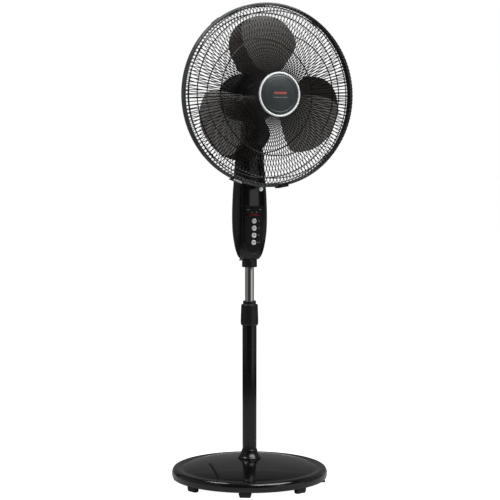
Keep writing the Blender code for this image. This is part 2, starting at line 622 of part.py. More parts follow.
def make_guards(body, mats):
    make_guard("front_guard", FRONT_GUARD, body, mats["wire_black"])
    make_guard("rear_guard", REAR_GUARD, body, mats["wire_black"])
    lip_r, wall = 0.2135, 0.0018
    channel = [
        (GUARD_R, RIM_BACK), (GUARD_R, RIM_FRONT), (lip_r, RIM_FRONT), (lip_r, RIM_FRONT - wall),
        (GUARD_R - wall, RIM_FRONT - wall), (GUARD_R - wall, RIM_BACK + wall), (lip_r, RIM_BACK + wall),
        (lip_r, RIM_BACK),
    ]
    rim = turned("guard_rim", channel, body, mats["rim_grey"], HEAD_CENTRE, FORWARD, 48)
    lug_turn = clock(LUG_ANGLE) @ Matrix.Translation((0, 0, LUG_R)) @ FORWARD
    lug = turned("lug_tool", cylinder_outline(0.0065, RIM_BACK + 0.0005, RIM_FRONT - 0.003), body, mats["steel"],
                 turn=lug_turn, segments=16)
    join(rim, lug)
    hole = turned("lug_hole_tool", cylinder_outline(0.0024, RIM_BACK - 0.005, RIM_FRONT + 0.005), body, mats["steel"],
                  turn=clock(LUG_ANGLE) @ Matrix.Translation((0, 0, LUG_R + 0.0015)) @ FORWARD, segments=10)
    cut(rim, hole)
    seat = RIM_FRONT - 0.003 + GAP
    screw = [(0, RIM_BACK - 0.002), (0.002, RIM_BACK - 0.002), (0.002, seat), (0.0052, seat), (0.0052, seat + 0.0016),
             (0.0044, seat + 0.0024), (0, seat + 0.0026)]
    turned("rim_screw", screw, body, mats["silver"],
           turn=clock(LUG_ANGLE) @ Matrix.Translation((0, 0, LUG_R + 0.0015)) @ FORWARD, segments=14)

    nut = [(0.0248, 0.0515), (0.0350, 0.0515), (0.0350, 0.0560), (0.0330, 0.0605), (0.0248, 0.0605)]
    turned("guard_nut", nut, body, mats["satin_black"], HEAD_CENTRE, FORWARD, 20)

    disc_r = 0.0485
    disc = [(0, 0.1790), (disc_r, 0.1790), (disc_r, 0.1850), (0.0455, 0.1868), (0.0430, 0.1864), (0.0400, 0.1872),
            (0.0200, 0.1886), (0, 0.1890)]
    turned("badge_disc", disc, body, mats["badge_grey"], HEAD_CENTRE, FORWARD, 32)
    ring = [(disc_r + GAP, 0.1790), (BADGE_R, 0.1790), (BADGE_R, 0.1845), (0.0522, 0.1868), (0.0505, 0.1872),
            (disc_r + GAP, 0.1862)]
    turned("badge_ring", ring, body, mats["silver"], HEAD_CENTRE, FORWARD, 32)


def make_clip(name, angle, body, mats):
    """A snap clip over the rim, hinged at the rim's back edge."""
    inner, outer = GUARD_R + GAP, GUARD_R + 0.0037
    hook_low, hook_back, hook_front = 0.2170, RIM_FRONT + GAP, RIM_FRONT + 0.0027
    back = CLIP_PIVOT_FORWARD
    outline = [
        (-back, inner), (-back, outer), (-hook_front + 0.001, outer), (-hook_front, outer - 0.0012),
        (-hook_front, hook_low), (-hook_back, hook_low), (-hook_back, inner),
    ]
    half_w = 0.0115
    extruded(name, outline, 2 * half_w, body, mats["rim_grey"], clock(angle) @ side_view(-half_w))


# ---------------------------------------------------------------- fan blade
def blade_half_width(height):
    """Half the blade's width at a distance from the hub's centre: a round lobe on a narrower root."""
    centre, root, root_half, lobe_half, fullness = 0.0891, 0.016, 0.015, 0.0927, 2.64
    if height >= centre:
        return lobe_half * math.sqrt(max(0.0, 1 - ((height - centre) / (BLADE_TIP - centre)) ** fullness))
    rise = math.sin(math.pi / 2 * (height - root) / (centre - root))
    return root_half + (lobe_half - root_half) * rise ** 2.32


def make_blade_tool(index, body, mat):
    """One twisted, cambered blade; its right edge leads and lies further back."""
    root, centre, lean, sweep, camber = 0.016, 0.0891, 0.0417, 0.0177, 0.006
    heights = [root + (centre - root) * i / 4 for i in range(4)]
    heights += [centre + (BLADE_TIP - centre) * math.sin(math.radians(86 * i / 6)) for i in range(7)]
    across = [i / 3 - 1 for i in range(7)]
    bm = bmesh.new()
    skins = []
    for side in (-1, 1):
        skin = []
        for height in heights:
            half_w = blade_half_width(height)
            share = (height - root) / (BLADE_TIP - root)
            slope = math.tan(math.radians(17.2 - 13.5 * share))
            middle = lean * min(1.0, height / 0.055) - sweep * share ** 2
            row = []
            for v in across:
                forward = BLADE_PLANE - v * half_w * slope + camber * (1 - v * v) * share + side * BLADE_T / 2
                row.append(bm.verts.new((middle + v * half_w, -forward, height)))
            skin.append(row)
        skins.append(skin)
    back, front = skins
    last = len(across) - 1
    for i in range(len(heights) - 1):
        for j in range(last):
            for skin in skins:
                bm.faces.new((skin[i][j], skin[i][j + 1], skin[i + 1][j + 1], skin[i + 1][j]))
        for j in (0, last):
            bm.faces.new((back[i][j], back[i + 1][j], front[i + 1][j], front[i][j]))
    for i in (0, len(heights) - 1):
        for j in range(last):
            bm.faces.new((back[i][j], back[i][j + 1], front[i][j + 1], front[i][j]))
    turn = clock(BLADE_CLOCKING + 120 * index)
    bmesh.ops.transform(bm, matrix=turn, verts=bm.verts)
    return finish(f"blade_tool_{index + 1}", bm, body, mat)


def make_rotor(body, mats):
    turned("motor_shaft", cylinder_outline(SHAFT_R, -0.036, 0.1535), body, mats["steel"], HEAD_CENTRE, FORWARD, 16)
    turned("rotor_core", ring_outline(SHAFT_R + GAP, 0.0236, -0.016, 0.016), body, mats["steel"], HEAD_CENTRE, FORWARD)
    hub = [(SHAFT_R + GAP, 0.098), (0.026, 0.098), (0.0275, 0.102), (0.0275, 0.131), (0.0245, 0.138), (0.018, 0.140),
           (SHAFT_R + GAP, 0.140)]
    fan = turned("fan_blade", hub, body, mats["smoke_blade"], HEAD_CENTRE, FORWARD)
    for index in range(3):
        join(fan, make_blade_tool(index, body, mats["smoke_blade"]))
    nut = [(0, 0.1565), (0.0100, 0.1560), (0.0140, 0.1520), (0.0150, 0.1403), (SHAFT_R + GAP, 0.1403),
           (SHAFT_R + GAP, 0.1540), (0, 0.1540)]
    turned("blade_nut", nut, body, mats["satin_black"], HEAD_CENTRE, FORWARD, 18)


# ---------------------------------------------------------------- assembly
def main():
    for obj in list(bpy.data.objects):
        bpy.data.objects.remove(obj)
    mats = make_materials()
    base = make_body("base", (0, 0, 0))
    height_nut = make_body("height_nut", (0, 0, NUT_BOTTOM_Z), base)
    column = make_body("column", (0, 0, TUBE_BOTTOM_Z), base)
    neck = make_body("neck", (0, 0, TILT_Z), column)
    head = make_body("head", (0, 0, NECK_TOP_Z), neck)
    rotor = make_body("rotor", HEAD_CENTRE, head)
    crank = make_body("swing_crank", (CRANK_X, CRANK_Y, NECK_TOP_Z), head)
    link = make_body("swing_link", (LINK_X, 0, NECK_TOP_Z), neck)

    make_base(base, mats)
    make_height_nut(height_nut, mats)
    make_column(column, mats)
    for i in range(BUTTON_COUNT):
        z = BUTTON_TOP_Z - i * BUTTON_PITCH
        make_button(i, make_body(f"button_{i + 1}", (0, -column_front(z), z), column), mats)
    make_neck(neck, mats)
    make_motor(head, mats)
    make_guards(head, mats)
    for name, angle in CLIP_ANGLES.items():
        pivot = clock(angle) @ Vector((0, -CLIP_PIVOT_FORWARD, CLIP_PIVOT_R))
        make_clip(name, angle, make_body(name, pivot, head), mats)
    make_swing_parts(crank, link, mats)
    make_rotor(rotor, mats)


main()
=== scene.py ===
"""Looks of the pedestal fan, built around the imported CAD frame. Metres, +Z up, the fan blows towards -Y."""

import math

import bmesh
import bpy
from mathutils import Matrix, Vector


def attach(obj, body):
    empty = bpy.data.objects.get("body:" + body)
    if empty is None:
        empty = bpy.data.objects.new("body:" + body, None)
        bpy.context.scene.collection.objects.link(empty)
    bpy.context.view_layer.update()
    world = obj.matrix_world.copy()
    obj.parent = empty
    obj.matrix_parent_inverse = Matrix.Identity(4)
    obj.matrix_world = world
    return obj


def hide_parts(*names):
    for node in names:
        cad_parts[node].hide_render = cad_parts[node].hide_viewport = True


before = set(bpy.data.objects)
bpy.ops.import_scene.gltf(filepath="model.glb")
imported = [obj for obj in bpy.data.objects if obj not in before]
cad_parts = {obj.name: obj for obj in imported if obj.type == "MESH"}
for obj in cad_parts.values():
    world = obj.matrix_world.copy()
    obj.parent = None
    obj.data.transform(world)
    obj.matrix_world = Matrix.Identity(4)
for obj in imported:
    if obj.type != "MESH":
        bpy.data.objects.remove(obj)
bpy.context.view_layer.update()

HEAD = Vector((0, 0, 0.971))                    # middle of the guard, on the fan's axis
FORWARD = Matrix.Rotation(math.radians(90), 4, "X")     # local x right, y up, z towards -Y
IDENTITY = Matrix.Identity(4)
ON_HEAD = Matrix.Translation(HEAD) @ FORWARD


# ---------------------------------------------------------------- materials
def new_material(name):
    mat = bpy.data.materials.new(name)
    mat.use_nodes = True
    tree = mat.node_tree
    return mat, tree, tree.nodes["Principled BSDF"]


def noise(tree, scale, detail=3.0, stretch=(1, 1, 1)):
    """A noise texture in object coordinates; stretch scales each axis."""
    coords = tree.nodes.new("ShaderNodeTexCoord")
    mapping = tree.nodes.new("ShaderNodeMapping")
    mapping.inputs["Scale"].default_value = stretch
    texture = tree.nodes.new("ShaderNodeTexNoise")
    texture.inputs["Scale"].default_value = scale
    texture.inputs["Detail"].default_value = detail
    tree.links.new(coords.outputs["Object"], mapping.inputs["Vector"])
    tree.links.new(mapping.outputs["Vector"], texture.inputs["Vector"])
    return texture.outputs["Fac"]


def spread(tree, source, low, high, from_low=0.3, from_high=0.7):
    """Maps a texture's middle range to low..high."""
    node = tree.nodes.new("ShaderNodeMapRange")
    node.inputs["From Min"].default_value = from_low
    node.inputs["From Max"].default_value = from_high
    node.inputs["To Min"].default_value = low
    node.inputs["To Max"].default_value = high
    tree.links.new(source, node.inputs["Value"])
    return node.outputs["Result"]


def mix_colours(tree, factor, first, second):
    node = tree.nodes.new("ShaderNodeMix")
    node.data_type = "RGBA"
    tree.links.new(factor, node.inputs["Factor"])
    for socket, colour in (("A", first), ("B", second)):
        target = next(s for s in node.inputs if s.name == socket and s.type == "RGBA")
        if isinstance(colour, tuple):
            target.default_value = (*colour, 1.0)
        else:
            tree.links.new(colour, target)
    return next(s for s in node.outputs if s.type == "RGBA")


def add_bump(tree, shader, height, strength, distance):
    node = tree.nodes.new("ShaderNodeBump")
    node.inputs["Strength"].default_value = strength
    node.inputs["Distance"].default_value = distance
    tree.links.new(height, node.inputs["Height"])
    tree.links.new(node.outputs["Normal"], shader.inputs["Normal"])


def finish_material(
    name, colour, rough, metallic=0.0, spread_by=0.05, tint=0.15, mottle=14.0, grain=900.0, depth=0.15,
    stretch=(1, 1, 1), coat=0.0, alpha=1.0, specular=0.5,
):
    """Moulded, painted or metal finish: mottled colour, uneven gloss and a fine grain."""
    mat, tree, shader = new_material(name)
    shader.inputs["Metallic"].default_value = metallic
    shader.inputs["Alpha"].default_value = alpha
    shader.inputs["Specular IOR Level"].default_value = specular
    shader.inputs["Coat Weight"].default_value = coat
    shader.inputs["Coat Roughness"].default_value = 0.05
    darker = tuple(c * (1 - tint) for c in colour)
    lighter = tuple(min(1.0, c * (1 + tint)) for c in colour)
    patches = spread(tree, noise(tree, mottle, stretch=stretch), 0, 1)
    tree.links.new(mix_colours(tree, patches, darker, lighter), shader.inputs["Base Color"])
    wear = noise(tree, mottle * 4.3, detail=6.0, stretch=stretch)
    gloss = spread(tree, wear, max(0.02, rough - spread_by), rough + spread_by)
    tree.links.new(gloss, shader.inputs["Roughness"])
    add_bump(tree, shader, noise(tree, grain, detail=2.0, stretch=stretch), depth, 0.0001)
    return mat


def window_material():
    """Smoked red window: lit at its middle and fading to black at its ends."""
    mat, tree, shader = new_material("smoke_window")
    coords = tree.nodes.new("ShaderNodeTexCoord")
    split = tree.nodes.new("ShaderNodeSeparateXYZ")
    tree.links.new(coords.outputs["Object"], split.inputs["Vector"])
    away = tree.nodes.new("ShaderNodeMath")
    away.operation = "ABSOLUTE"
    tree.links.new(split.outputs["X"], away.inputs[0])
    glow = spread(tree, away.outputs["Value"], 1.0, 0.0, 0.002, 0.021)
    colour = mix_colours(tree, glow, (0.008, 0.003, 0.004), (0.17, 0.010, 0.018))
    tree.links.new(colour, shader.inputs["Base Color"])
    tree.links.new(spread(tree, noise(tree, 160.0), 0.12, 0.22), shader.inputs["Roughness"])
    shader.inputs["Specular IOR Level"].default_value = 0.15
    return mat


def make_materials():
    make = finish_material
    return {
        "gloss_black": make("gloss_black", (0.0035, 0.0037, 0.0037), 0.12, spread_by=0.02, depth=0.02,
                            coat=0.2),
        "base_black": make("base_black", (0.0045, 0.0047, 0.0044), 0.13, spread_by=0.02, depth=0.02,
                           coat=0.15),
        # painted shade: a darker, duller black for the strip along the base's crease
        "crease_shade_black": make("crease_shade_black", (0.0022, 0.0022, 0.0021), 0.5, depth=0.02, specular=0.12),
        "pole_black": make("pole_black", (0.0040, 0.0041, 0.0039), 0.16, spread_by=0.03, stretch=(1, 1, 0.1),
                           depth=0.03),
        "satin_black": make("satin_black", (0.0065, 0.0070, 0.0068), 0.33, depth=0.15),
        "housing_black": make("housing_black", (0.0042, 0.0043, 0.0038), 0.22, depth=0.06),
        "overlay_black": make("overlay_black", (0.0038, 0.0039, 0.0038), 0.42, depth=0.15, grain=1400.0,
                              specular=0.3),
        # painted highlight: a lighter grey for the bead along the front cover's seam
        "seam_highlight_grey": make("seam_highlight_grey", (0.026, 0.028, 0.026), 0.35, depth=0.1),
        # painted highlight: a pale grey for the ring at the cord gland
        "gland_highlight_pale": make("gland_highlight_pale", (0.42, 0.42, 0.40), 0.35, depth=0.1),
        "rim_grey": make("rim_grey", (0.058, 0.070, 0.068), 0.30, depth=0.1, coat=0.15),
        "wire_black": make("wire_black", (0.0045, 0.0045, 0.0045), 0.22, grain=500.0, depth=0.05),
        "smoke_blade": make("smoke_blade", (0.036, 0.026, 0.014), 0.26, alpha=0.72, tint=0.1, depth=0.02),
        # painted shade: darker, denser smoke with less shine for the blade's edge strip
        "smoke_blade_shade": make("smoke_blade_shade", (0.013, 0.008, 0.004), 0.30, alpha=0.89, tint=0.1, depth=0.02,
                           specular=0.15),
        "smoke_window": window_material(),
        "badge_grey": make("badge_grey", (0.066, 0.074, 0.074), 0.34, metallic=0.6, grain=1500.0, depth=0.05),
        "badge_mark_red": make("badge_mark_red", (0.40, 0.080, 0.070), 0.4),
        "badge_mark_pale": make("badge_mark_pale", (0.20, 0.24, 0.26), 0.4),
        "panel_mark": make("panel_mark", (0.24, 0.25, 0.24), 0.5, tint=0.3, mottle=300.0),
        "silver": make("silver", (0.94, 0.97, 0.97), 0.3, metallic=0.05, spread_by=0.04, tint=0.03,
                       depth=0.02),
        "button_silver": make("button_silver", (0.80, 0.82, 0.81), 0.36, metallic=0.3, tint=0.06,
                              mottle=120.0, depth=0.04),
        "button_icon": make("button_icon", (0.14, 0.145, 0.145), 0.5, tint=0.3, mottle=300.0),
        "chrome": make("chrome", (0.64, 0.64, 0.60), 0.05, metallic=1.0, spread_by=0.03, tint=0.05,
                       stretch=(1, 1, 0.06), mottle=60.0, depth=0.05),
        "steel": make("steel", (0.42, 0.42, 0.41), 0.32, metallic=1.0, spread_by=0.1),
        "cast_iron": make("cast_iron", (0.05, 0.05, 0.05), 0.7, metallic=0.7, grain=300.0, depth=0.8),
        "aluminium": make("aluminium", (0.60, 0.61, 0.62), 0.4, metallic=1.0),
        "copper": make("copper", (0.50, 0.22, 0.10), 0.4, metallic=0.8, grain=600.0, depth=0.6),
        "bronze": make("bronze", (0.45, 0.30, 0.14), 0.4, metallic=1.0),
        "white_nylon": make("white_nylon", (0.66, 0.65, 0.61), 0.5),
        "board_green": make("board_green", (0.03, 0.15, 0.06), 0.5),
        "rubber": make("rubber", (0.012, 0.012, 0.012), 0.62, grain=700.0, depth=0.5),
    }


MATS = make_materials()


# ---------------------------------------------------------------- mesh building
def add_piece(name, bm, mat, body, replaces=(), sharp=38):
    """Makes a shown piece from a bmesh in world places."""
    bmesh.ops.recalc_face_normals(bm, faces=bm.faces)
    mesh = bpy.data.meshes.new(name)
    bm.to_mesh(mesh)
    bm.free()
    mesh.materials.append(MATS[mat])
    mesh.shade_smooth()
    mesh.set_sharp_from_angle(angle=math.radians(sharp))
    obj = bpy.data.objects.new(name, mesh)
    bpy.context.scene.collection.objects.link(obj)
    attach(obj, body)
    if replaces:
        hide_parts(*replaces)
    return obj


def rounded(points, radius, closed=False, steps=4):
    """A polyline with its corners rounded."""
    out = []
    count = len(points)
    for i, point in enumerate(points):
        corner = Vector(point)
        if not closed and i in (0, count - 1):
            out.append(tuple(corner))
            continue
        before = Vector(points[i - 1]) - corner
        after = Vector(points[(i + 1) % count]) - corner
        reach = min(radius, before.length * 0.45, after.length * 0.45)
        start = corner + before.normalized() * reach
        end = corner + after.normalized() * reach
        for k in range(steps + 1):
            t = k / steps
            out.append(tuple(start * (1 - t) ** 2 + corner * 2 * t * (1 - t) + end * t * t))
    return out


def smooth_path(points, per_span):
    """A Catmull-Rom curve through the points."""
    points = [Vector(p) for p in points]
    padded = [points[0] * 2 - points[1]] + points + [points[-1] * 2 - points[-2]]
    out = []
    for a, b, c, d in zip(padded, padded[1:], padded[2:], padded[3:]):
        for k in range(per_span):
            t = k / per_span
            out.append(0.5 * (2 * b + (c - a) * t + (2 * a - 5 * b + 4 * c - d) * t * t
                              + (3 * b - a - 3 * c + d) * t ** 3))
    out.append(points[-1])
    return out


def spin_into(bm, profile, segments, matrix):
    """Spins (radius, height) points round the local Z axis; a profile off the axis is closed."""
    closed = all(r > 1e-9 for r, _ in profile)
    rings = []
    for r, h in profile:
        if r <= 1e-9:
            rings.append([bm.verts.new(matrix @ Vector((0, 0, h)))])
            continue
        turns = (math.tau * i / segments for i in range(segments))
        rings.append([bm.verts.new(matrix @ Vector((r * math.cos(a), r * math.sin(a), h))) for a in turns])
    pairs = list(zip(rings, rings[1:])) + ([(rings[-1], rings[0])] if closed else [])
    for a, b in pairs:
        for i in range(segments):
            j = (i + 1) % segments
            corners = [a[i % len(a)], a[j % len(a)], b[j % len(b)], b[i % len(b)]]
            unique = list(dict.fromkeys(corners))
            if len(unique) > 2:
                bm.faces.new(unique)


def turned(name, profile, mat, body, replaces=(), matrix=IDENTITY, segments=96, fillet=0.0):
    """A shown piece spun from (radius, height) points; a profile off the axis is closed."""
    if fillet:
        on_axis = any(r <= 1e-9 for r, _ in profile)
        profile = rounded(profile, fillet, closed=not on_axis)
    bm = bmesh.new()
    spin_into(bm, profile, segments, matrix)
    return add_piece(name, bm, mat, body, replaces)


def prism_into(bm, outline, depth, matrix, bevel=0.0, steps=3):
    """Extrudes an (x, y) outline along local Z, with its edges rounded."""
    part = bmesh.new()
    face = part.faces.new([part.verts.new((x, y, 0)) for x, y in outline])
    lifted = bmesh.ops.extrude_face_region(part, geom=[face])
    top = [v for v in lifted["geom"] if isinstance(v, bmesh.types.BMVert)]
    bmesh.ops.translate(part, vec=(0, 0, depth), verts=top)
    if bevel:
        edges = [e for e in part.edges if e.calc_face_angle(0) > math.radians(50)]
        bmesh.ops.bevel(part, geom=edges, offset=bevel, segments=steps, profile=0.5, affect="EDGES")
    bmesh.ops.transform(part, matrix=matrix, verts=part.verts)
    mesh = bpy.data.meshes.new("part")
    part.to_mesh(mesh)
    part.free()
    bm.from_mesh(mesh)
    bpy.data.meshes.remove(mesh)


def prism(name, outline, depth, mat, body, replaces=(), matrix=IDENTITY, bevel=0.0):
    bm = bmesh.new()
    prism_into(bm, outline, depth, matrix, bevel)
    return add_piece(name, bm, mat, body, replaces)


def rounded_box(half_x, half_y, radius):
    corners = [(half_x, -half_y), (half_x, half_y), (-half_x, half_y), (-half_x, -half_y)]
    return rounded(corners, radius, closed=True, steps=4)


def tube_into(bm, path, radius, side, sides=6):
    """A round wire along a path; side is a direction square to the path, or nearly so, all the way."""
    rings = []
    for i, point in enumerate(path):
        before = path[max(i - 1, 0)]
        after = path[min(i + 1, len(path) - 1)]
        across = side.cross(after - before).normalized()
        ring = []
        for k in range(sides):
            angle = math.tau * k / sides
            ring.append(bm.verts.new(point + radius * (math.cos(angle) * side + math.sin(angle) * across)))
        rings.append(ring)
    for a, b in zip(rings, rings[1:]):
        for k in range(sides):
            m = (k + 1) % sides
            bm.faces.new((a[k], a[m], b[m], b[k]))
    bm.faces.new(list(reversed(rings[0])))
    bm.faces.new(rings[-1])


def ring_into(bm, radius, height, thickness, matrix, segments=180, sides=8):
    profile = []
    for k in range(sides):
        angle = math.tau * k / sides
        profile.append((radius + thickness * math.cos(angle), height + thickness * math.sin(angle)))
    spin_into(bm, profile, segments, matrix)


def boolean_cut(obj, cutter):
    """Cuts obj with another object's shape for good, and removes the cutter."""
    modifier = obj.modifiers.new("Cut", "BOOLEAN")
    modifier.solver = "EXACT"
    modifier.object = cutter
    bpy.context.view_layer.update()
    mesh = bpy.data.meshes.new_from_object(obj.evaluated_get(bpy.context.evaluated_depsgraph_get()))
    obj.modifiers.clear()
    obj.data = mesh
    mesh.shade_smooth()
    mesh.set_sharp_from_angle(angle=math.radians(30))
    bpy.data.objects.remove(cutter)


def cutter(bm):
    mesh = bpy.data.meshes.new("cutter")
    bmesh.ops.recalc_face_normals(bm, faces=bm.faces)
    bm.to_mesh(mesh)
    bm.free()
    obj = bpy.data.objects.new("cutter", mesh)
    bpy.context.scene.collection.objects.link(obj)
    return obj


def clock(angle):
    """Turns a piece built at the top of the rim round the fan's axis, clockwise seen from the front."""
    return Matrix.Translation(HEAD) @ Matrix.Rotation(math.radians(angle), 4, "Y")


# ---------------------------------------------------------------- guards
LUG_ANGLE = 185.7
LUG_R = 0.2266
WIRE_COUNT = 146
WIRE_R = 0.00105
RIM_STEP_ANGLE = 322                            # a small step on the hoop's left shoulder
CLIP_ANGLES = {"guard_clip_left": 202.5, "guard_clip_right": 171.0}
FRONT_PATH = ((0.0460, 0.1825), (0.0700, 0.1822), (0.1000, 0.1808), (0.1460, 0.1758), (0.1760, 0.1697),
              (0.1995, 0.1615), (0.2100, 0.1535), (0.2155, 0.1430), (0.2172, 0.1340), (0.2176, 0.1262))
REAR_PATH = ((0.0330, 0.0522), (0.0600, 0.0522), (0.1000, 0.0560), (0.1400, 0.0650), (0.1750, 0.0790),
             (0.1995, 0.0945), (0.2110, 0.1030), (0.2165, 0.1085), (0.2176, 0.1130))


def path_height(path, radius):
    """Height of a wire's path at a radius."""
    for (r0, h0), (r1, h1) in zip(path, path[1:]):
        if r0 <= radius <= r1:
            return h0 + (h1 - h0) * (radius - r0) / (r1 - r0)
    return path[-1][1]


def make_guard(name, path, rings, hub, node):
    bm = bmesh.new()
    curve = smooth_path(path, 2)
    for i in range(WIRE_COUNT):
        angle = math.tau * (i + 0.5) / WIRE_COUNT
        out = Vector((math.sin(angle), math.cos(angle), 0))
        side = Vector((math.cos(angle), -math.sin(angle), 0))
        points = [ON_HEAD @ (out * p.x + Vector((0, 0, p.y))) for p in curve]
        tube_into(bm, points, WIRE_R, FORWARD.to_3x3() @ side)
    for radius, inward in rings:
        height = path_height(path, radius) - inward
        ring_into(bm, radius, height, 0.0014, ON_HEAD)
    spin_into(bm, rounded(hub, 0.0008, closed=True), 96, ON_HEAD)
    add_piece(name, bm, "wire_black", "head", (node,))


def make_guards():
    front_hub = [(0.0440, 0.1805), (0.0530, 0.1805), (0.0530, 0.1838), (0.0440, 0.1838)]
    make_guard("front_guard_wires", FRONT_PATH, ((0.146, 0.0022), (0.2000, 0.0022), (0.2150, 0.0022)),
               front_hub, "front_guard")
    rear_hub = [(0.0252, 0.0506), (0.0400, 0.0506), (0.0400, 0.0538), (0.0252, 0.0538)]
    make_guard("rear_guard_wires", REAR_PATH, ((0.1400, -0.0022), (0.2000, -0.0022), (0.2145, -0.0022)),
               rear_hub, "rear_guard")
    section = [(0.2172, 0.1293), (0.2212, 0.1293), (0.2225, 0.1275), (0.2225, 0.1108), (0.2212, 0.1092),
               (0.2172, 0.1092), (0.2172, 0.1108), (0.2198, 0.1122), (0.2198, 0.1265), (0.2172, 0.1278)]
    bm = bmesh.new()
    spin_into(bm, rounded(section, 0.0010, closed=True, steps=3), 240, ON_HEAD)
    lug = [(0, 0.1106), (0.0072, 0.1106), (0.0072, 0.1252), (0.0060, 0.1262), (0, 0.1262)]
    place = clock(LUG_ANGLE) @ Matrix.Translation((0, 0, LUG_R)) @ FORWARD
    spin_into(bm, rounded(lug, 0.0008), 32, place)
    web = [(-0.0115, -0.0070), (0.0115, -0.0070), (0.0060, 0.0020), (-0.0060, 0.0020)]
    prism_into(bm, web, 0.0140, clock(LUG_ANGLE) @ Matrix.Translation((0, -0.1108, LUG_R)) @ FORWARD, 0.0008)
    step = [(-0.0130, -0.0040), (0.0130, -0.0040), (0.0110, 0.0012), (-0.0110, 0.0012)]
    place = clock(RIM_STEP_ANGLE) @ Matrix.Translation((0, -0.1112, 0.2228)) @ FORWARD
    prism_into(bm, step, 0.0150, place, 0.0006)
    add_piece("guard_rim_hoop", bm, "rim_grey", "head", ("guard_rim",))
    make_rim_screw()
    for name, angle in CLIP_ANGLES.items():
        make_clip(name, angle, name == "guard_clip_left")


def make_rim_screw():
    place = clock(LUG_ANGLE) @ Matrix.Translation((0, 0, LUG_R + 0.0015)) @ FORWARD
    outline = [(0, 0.1080), (0.0020, 0.1080), (0.0020, 0.1258), (0.0054, 0.1258), (0.0054, 0.1272),
               (0.0040, 0.1288), (0, 0.1292)]
    screw = turned("rim_screw_head", outline, "silver", "head", ("rim_screw",), place,
                   40, 0.0006)
    bm = bmesh.new()
    slot = [(-0.0009, -0.008), (0.0009, -0.008), (0.0009, 0.008), (-0.0009, 0.008)]
    prism_into(bm, slot, 0.004, place @ Matrix.Translation((0, 0, 0.1276)) @ Matrix.Rotation(-0.8, 4, "Z"))
    boolean_cut(screw, cutter(bm))


def make_clip(name, angle, bar):
    inner, outer = 0.2228, 0.2262
    outline = [(-0.1085, inner), (-0.1085, outer), (-0.1290, outer), (-0.1308, outer - 0.0016),
               (-0.1308, 0.2178), (-0.1297, 0.2178), (-0.1297, inner)]
    sideways = Matrix(((0, 0, 1, 0), (1, 0, 0, 0), (0, 1, 0, 0), (0, 0, 0, 1)))
    half_w = 0.0140
    bm = bmesh.new()
    prism_into(bm, outline, 2 * half_w, clock(angle) @ Matrix.Translation((-half_w, 0, 0)) @ sideways,
               0.0004, 2)
    add_piece(name + "_body", bm, "satin_black", name, (name,))
    if bar:
        face = clock(angle) @ Matrix.Translation((0, -0.1306, 0.2238)) @ FORWARD
        prism(name + "_bar", rounded_box(0.0120, 0.0019, 0.0008), 0.0008, "button_silver", name,
              matrix=face, bevel=0.0003)


# ---------------------------------------------------------------- badge
def make_badge():
    disc = [(0, 0.1892), (0.0200, 0.1889), (0.0392, 0.1876), (0.0400, 0.1868), (0.0412, 0.1868),
            (0.0420, 0.1873), (0.0470, 0.1862), (0.0484, 0.1848), (0.0484, 0.1800), (0, 0.1800)]
    turned("badge_face", disc, "badge_grey", "head", ("badge_disc",), ON_HEAD, 128, 0.0005)
    ring = [(0.0487, 0.1800), (0.0487, 0.1866), (0.0500, 0.1880), (0.0518, 0.1880), (0.0536, 0.1862),
            (0.0536, 0.1800)]
    turned("badge_bezel", ring, "silver", "head", ("badge_ring",), ON_HEAD, 160, 0.0009)
    marks = (("badge_mark_bar", "badge_mark_red", 0.0032, 0.0165, 0.0026),
             ("badge_mark_line", "badge_mark_pale", -0.0072, 0.0190, 0.0007))
    for name, mat, y, half_x, half_y in marks:
        place = ON_HEAD @ Matrix.Translation((0, y, 0.1888))
        prism(name, rounded_box(half_x, half_y, half_y * 0.6), 0.0004, mat, "head",
              matrix=place)


# ---------------------------------------------------------------- blades
BLADE_TIP = 0.1883
BLADE_PLANE = 0.1195
BLADE_CLOCKING = -25.5
BLADE_ROOT = 0.016
BLADE_CENTRE = 0.0891
SHADE_STRIP_AT = -0.4                                  # share of the half width where the darker edge strip of painted shade ends


def blade_half_width(height):
    root_half, lobe_half = 0.015, 0.0927
    if height >= BLADE_CENTRE:
        reach = (height - BLADE_CENTRE) / (BLADE_TIP - BLADE_CENTRE)
        return lobe_half * math.sqrt(max(0.0, 1 - reach ** 2.64))
    rise = math.sin(math.pi / 2 * (height - BLADE_ROOT) / (BLADE_CENTRE - BLADE_ROOT))
    return root_half + (lobe_half - root_half) * rise ** 2.32


def blade_into(bm, index):
    """One twisted, cambered blade; its right edge leads and lies further back."""
    root, centre, lean, sweep, camber = BLADE_ROOT, BLADE_CENTRE, 0.0417, 0.0177, 0.006
    heights = [root + (centre - root) * i / 14 for i in range(14)]
    heights += [centre + (BLADE_TIP - centre) * math.sin(math.radians(89 * i / 18)) for i in range(19)]
    across = [math.sin(math.pi * (i / 24 - 0.5)) for i in range(25)]
    turn = clock(BLADE_CLOCKING + 120 * index)
    skins = []
    for side in (-1, 1):
        skin = []
        for height in heights:
            half_w = blade_half_width(height)
            share = (height - root) / (BLADE_TIP - root)
            slope = math.tan(math.radians(17.2 - 13.5 * share))
            middle = lean * min(1.0, height / 0.055) - sweep * share ** 2
            row = []
            for v in across:
                thick = side * (0.00035 + 0.00085 * (1 - v * v))
                forward = BLADE_PLANE - v * half_w * slope + camber * (1 - v * v) * share + thick
                row.append(bm.verts.new(turn @ Vector((middle + v * half_w, -forward, height))))
            skin.append(row)
        skins.append(skin)
    back, front = skins
    last = len(across) - 1
    for i in range(len(heights) - 1):
        for j in range(last):
            for skin in skins:
                face = bm.faces.new((skin[i][j], skin[i][j + 1], skin[i + 1][j + 1], skin[i + 1][j]))
                # faces past the strip's edge take the painted-shade material
                face.material_index = 1 if across[j + 1] < SHADE_STRIP_AT else 0
        for j in (0, last):
            bm.faces.new((back[i][j], back[i + 1][j], front[i + 1][j], front[i][j]))
    for i in (0, len(heights) - 1):
        for j in range(last):
            bm.faces.new((back[i][j], back[i][j + 1], front[i][j + 1], front[i][j]))


